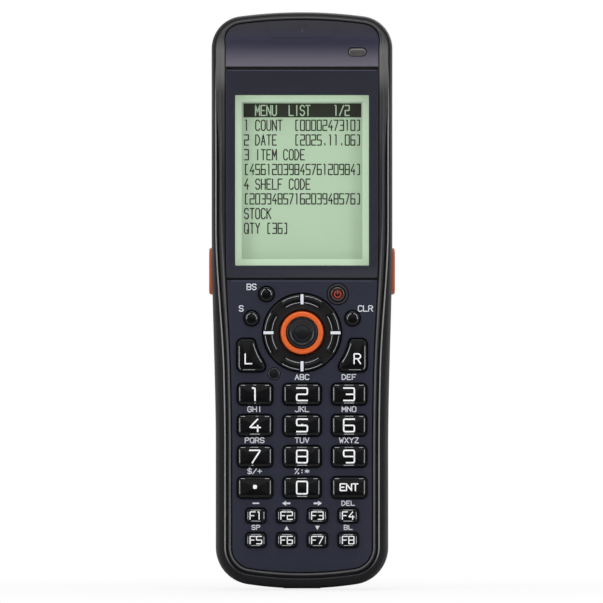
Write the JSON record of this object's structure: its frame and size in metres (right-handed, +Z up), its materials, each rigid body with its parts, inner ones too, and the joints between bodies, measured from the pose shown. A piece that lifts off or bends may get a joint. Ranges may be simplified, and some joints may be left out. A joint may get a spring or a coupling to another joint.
{
  "type": "portable barcode data terminal",
  "caption": "Upright handheld data terminal with a display, a number keypad, a cursor ring, side triggers, a scanning window in its top end and a hinged battery cover.",
  "frame": {"origin": "middle of the foot's flat rest face, under the middle of the overall box", "axes": "+Z up the length of the body from the foot to the scanning end, +X to the right as the keypad is read, +Y from the keypad to the back"},
  "size_m": [0.054, 0.0314, 0.167],
  "materials": {
    "case_dark": "fine texture",
    "case_front": "satin",
    "panel_navy": "satin metallic",
    "panel_top": "satin metallic",
    "window_glass": "gloss, clear over a dark border",
    "inner_plastic": "plain",
    "lcd_green": "matte polariser",
    "light_guide": "plain",
    "smoked_lens": "gloss",
    "silicone": "plain",
    "circuit_board": "coated",
    "chip_black": "plain",
    "mirror_face": "polished",
    "red_window": "gloss, dark red",
    "steel": "plain",
    "gold": "plated",
    "cell_blue": "shrink sleeve",
    "seal_rubber": "plain",
    "orange": "satin",
    "key_gloss": "gloss",
    "cursor_black": "satin gloss",
    "key_red": "gloss"
  },
  "bodies": {
    "case": {"rear_case": "case_dark", "front_case": "case_front", "keypad_panel": "panel_navy", "top_panel": "panel_top", "display_window": "window_glass", "lcd_frame": "inner_plastic", "lcd_panel": "lcd_green", "backlight": "light_guide", "led_lens": "smoked_lens", "keymat": "silicone", "keypad_board": "circuit_board", "main_board": "circuit_board", "board_chips": "chip_black", "scan_engine": "inner_plastic", "scan_window": "red_window", "speaker": "chip_black", "vibration_motor": "steel", "battery_pack": "cell_blue", "battery_contacts": "gold", "case_seal": "seal_rubber", "case_screws": "steel", "ir_window": "red_window", "charge_contacts": "gold", "strap_anchor": "case_dark", "panel_rings": "inner_plastic"},
    "battery_cover": {"battery_cover": "case_dark"},
    "cover_lock": {"cover_lock": "inner_plastic"},
    "trigger_left": {"trigger_left": "orange"},
    "trigger_right": {"trigger_right": "orange"},
    "centre_key": {"centre_ring": "orange", "centre_cap": "cursor_black"},
    "cursor_cushion": {"cursor_cushion": "silicone"},
    "cursor_ring": {"cursor_ring": "cursor_black"},
    "scan_mirror": {"scan_mirror": "mirror_face"},
    "key_1": {"key_1": "key_gloss"},
    "key_2": {"key_2": "key_gloss"},
    "key_3": {"key_3": "key_gloss"},
    "key_4": {"key_4": "key_gloss"},
    "key_5": {"key_5": "key_gloss"},
    "key_6": {"key_6": "key_gloss"},
    "key_7": {"key_7": "key_gloss"},
    "key_8": {"key_8": "key_gloss"},
    "key_9": {"key_9": "key_gloss"},
    "key_dot": {"key_dot": "key_gloss"},
    "key_0": {"key_0": "key_gloss"},
    "key_enter": {"key_enter": "key_gloss"},
    "key_f1": {"key_f1": "key_gloss"},
    "key_f2": {"key_f2": "key_gloss"},
    "key_f3": {"key_f3": "key_gloss"},
    "key_f4": {"key_f4": "key_gloss"},
    "key_f5": {"key_f5": "key_gloss"},
    "key_f6": {"key_f6": "key_gloss"},
    "key_f7": {"key_f7": "key_gloss"},
    "key_f8": {"key_f8": "key_gloss"},
    "power_key": {"power_key": "key_red"},
    "bs_key": {"bs_key": "key_gloss"},
    "s_key": {"s_key": "key_gloss"},
    "clear_key": {"clear_key": "key_gloss"},
    "l_key": {"l_key": "key_gloss"},
    "r_key": {"r_key": "key_gloss"}
  },
  "joints": [
    {"name": "key_1_press", "type": "slide", "parent": "case", "child": "key_1", "axis": [0, 1, 0], "range_m": [0, 0.0008], "stiffness_N_per_m": 900, "springref_m": -0.0005},
    {"name": "key_2_press", "type": "slide", "parent": "case", "child": "key_2", "axis": [0, 1, 0], "range_m": [0, 0.0008], "stiffness_N_per_m": 900, "springref_m": -0.0005},
    {"name": "key_3_press", "type": "slide", "parent": "case", "child": "key_3", "axis": [0, 1, 0], "range_m": [0, 0.0008], "stiffness_N_per_m": 900, "springref_m": -0.0005},
    {"name": "key_4_press", "type": "slide", "parent": "case", "child": "key_4", "axis": [0, 1, 0], "range_m": [0, 0.0008], "stiffness_N_per_m": 900, "springref_m": -0.0005},
    {"name": "key_5_press", "type": "slide", "parent": "case", "child": "key_5", "axis": [0, 1, 0], "range_m": [0, 0.0008], "stiffness_N_per_m": 900, "springref_m": -0.0005},
    {"name": "key_6_press", "type": "slide", "parent": "case", "child": "key_6", "axis": [0, 1, 0], "range_m": [0, 0.0008], "stiffness_N_per_m": 900, "springref_m": -0.0005},
    {"name": "key_7_press", "type": "slide", "parent": "case", "child": "key_7", "axis": [0, 1, 0], "range_m": [0, 0.0008], "stiffness_N_per_m": 900, "springref_m": -0.0005},
    {"name": "key_8_press", "type": "slide", "parent": "case", "child": "key_8", "axis": [0, 1, 0], "range_m": [0, 0.0008], "stiffness_N_per_m": 900, "springref_m": -0.0005},
    {"name": "key_9_press", "type": "slide", "parent": "case", "child": "key_9", "axis": [0, 1, 0], "range_m": [0, 0.0008], "stiffness_N_per_m": 900, "springref_m": -0.0005},
    {"name": "key_dot_press", "type": "slide", "parent": "case", "child": "key_dot", "axis": [0, 1, 0], "range_m": [0, 0.0008], "stiffness_N_per_m": 900, "springref_m": -0.0005},
    {"name": "key_0_press", "type": "slide", "parent": "case", "child": "key_0", "axis": [0, 1, 0], "range_m": [0, 0.0008], "stiffness_N_per_m": 900, "springref_m": -0.0005},
    {"name": "key_enter_press", "type": "slide", "parent": "case", "child": "key_enter", "axis": [0, 1, 0], "range_m": [0, 0.0008], "stiffness_N_per_m": 900, "springref_m": -0.0005},
    {"name": "key_f1_press", "type": "slide", "parent": "case", "child": "key_f1", "axis": [0, 1, 0], "range_m": [0, 0.0008], "stiffness_N_per_m": 900, "springref_m": -0.0005},
    {"name": "key_f2_press", "type": "slide", "parent": "case", "child": "key_f2", "axis": [0, 1, 0], "range_m": [0, 0.0008], "stiffness_N_per_m": 900, "springref_m": -0.0005},
    {"name": "key_f3_press", "type": "slide", "parent": "case", "child": "key_f3", "axis": [0, 1, 0], "range_m": [0, 0.0008], "stiffness_N_per_m": 900, "springref_m": -0.0005},
    {"name": "key_f4_press", "type": "slide", "parent": "case", "child": "key_f4", "axis": [0, 1, 0], "range_m": [0, 0.0008], "stiffness_N_per_m": 900, "springref_m": -0.0005},
    {"name": "key_f5_press", "type": "slide", "parent": "case", "child": "key_f5", "axis": [0, 1, 0], "range_m": [0, 0.0008], "stiffness_N_per_m": 900, "springref_m": -0.0005},
    {"name": "key_f6_press", "type": "slide", "parent": "case", "child": "key_f6", "axis": [0, 1, 0], "range_m": [0, 0.0008], "stiffness_N_per_m": 900, "springref_m": -0.0005},
    {"name": "key_f7_press", "type": "slide", "parent": "case", "child": "key_f7", "axis": [0, 1, 0], "range_m": [0, 0.0008], "stiffness_N_per_m": 900, "springref_m": -0.0005},
    {"name": "key_f8_press", "type": "slide", "parent": "case", "child": "key_f8", "axis": [0, 1, 0], "range_m": [0, 0.0008], "stiffness_N_per_m": 900, "springref_m": -0.0005},
    {"name": "power_key_press", "type": "slide", "parent": "case", "child": "power_key", "axis": [0, 1, 0], "range_m": [0, 0.0008], "stiffness_N_per_m": 900, "springref_m": -0.0005},
    {"name": "bs_key_press", "type": "slide", "parent": "case", "child": "bs_key", "axis": [0, 1, 0], "range_m": [0, 0.0008], "stiffness_N_per_m": 900, "springref_m": -0.0005},
    {"name": "s_key_press", "type": "slide", "parent": "case", "child": "s_key", "axis": [0, 1, 0], "range_m": [0, 0.0008], "stiffness_N_per_m": 900, "springref_m": -0.0005},
    {"name": "clear_key_press", "type": "slide", "parent": "case", "child": "clear_key", "axis": [0, 1, 0], "range_m": [0, 0.0008], "stiffness_N_per_m": 900, "springref_m": -0.0005},
    {"name": "l_key_press", "type": "slide", "parent": "case", "child": "l_key", "axis": [0, 1, 0], "range_m": [0, 0.0008], "stiffness_N_per_m": 900, "springref_m": -0.0005},
    {"name": "r_key_press", "type": "slide", "parent": "case", "child": "r_key", "axis": [0, 1, 0], "range_m": [0, 0.0008], "stiffness_N_per_m": 900, "springref_m": -0.0005},
    {"name": "centre_key_press", "type": "slide", "parent": "case", "child": "centre_key", "axis": [0, 1, 0], "range_m": [0, 0.0008], "stiffness_N_per_m": 1200, "springref_m": -0.0005},
    {"name": "trigger_left_press", "type": "slide", "parent": "case", "child": "trigger_left", "axis": [1, 0, 0], "range_m": [0, 0.0006], "stiffness_N_per_m": 1500, "springref_m": -0.0006},
    {"name": "trigger_right_press", "type": "slide", "parent": "case", "child": "trigger_right", "axis": [-1, 0, 0], "range_m": [0, 0.0006], "stiffness_N_per_m": 1500, "springref_m": -0.0006},
    {"name": "cursor_tilt_up_down", "type": "hinge", "parent": "case", "child": "cursor_cushion", "pos_m": [0, -0.01205, 0.07407], "axis": [1, 0, 0], "range_deg": [-2.5, 2.5], "stiffness_Nm_per_rad": 0.35},
    {"name": "cursor_tilt_left_right", "type": "hinge", "parent": "cursor_cushion", "child": "cursor_ring", "pos_m": [0, -0.01205, 0.07407], "axis": [0, 0, 1], "range_deg": [-2.5, 2.5], "stiffness_Nm_per_rad": 0.35},
    {"name": "battery_cover_hinge", "type": "hinge", "parent": "case", "child": "battery_cover", "pos_m": [0, 0.00875, 0.0828], "axis": [1, 0, 0], "range_deg": [0, 90]},
    {"name": "cover_lock_slide", "type": "slide", "parent": "battery_cover", "child": "cover_lock", "axis": [0, 0, -1], "range_m": [0, 0.0024]},
    {"name": "scan_mirror_swing", "type": "hinge", "parent": "case", "child": "scan_mirror", "pos_m": [0, 0.00184, 0.15341], "axis": [0, 0.7771, -0.6293], "range_deg": [-12, 12], "stiffness_Nm_per_rad": 0.0002}
  ]
}
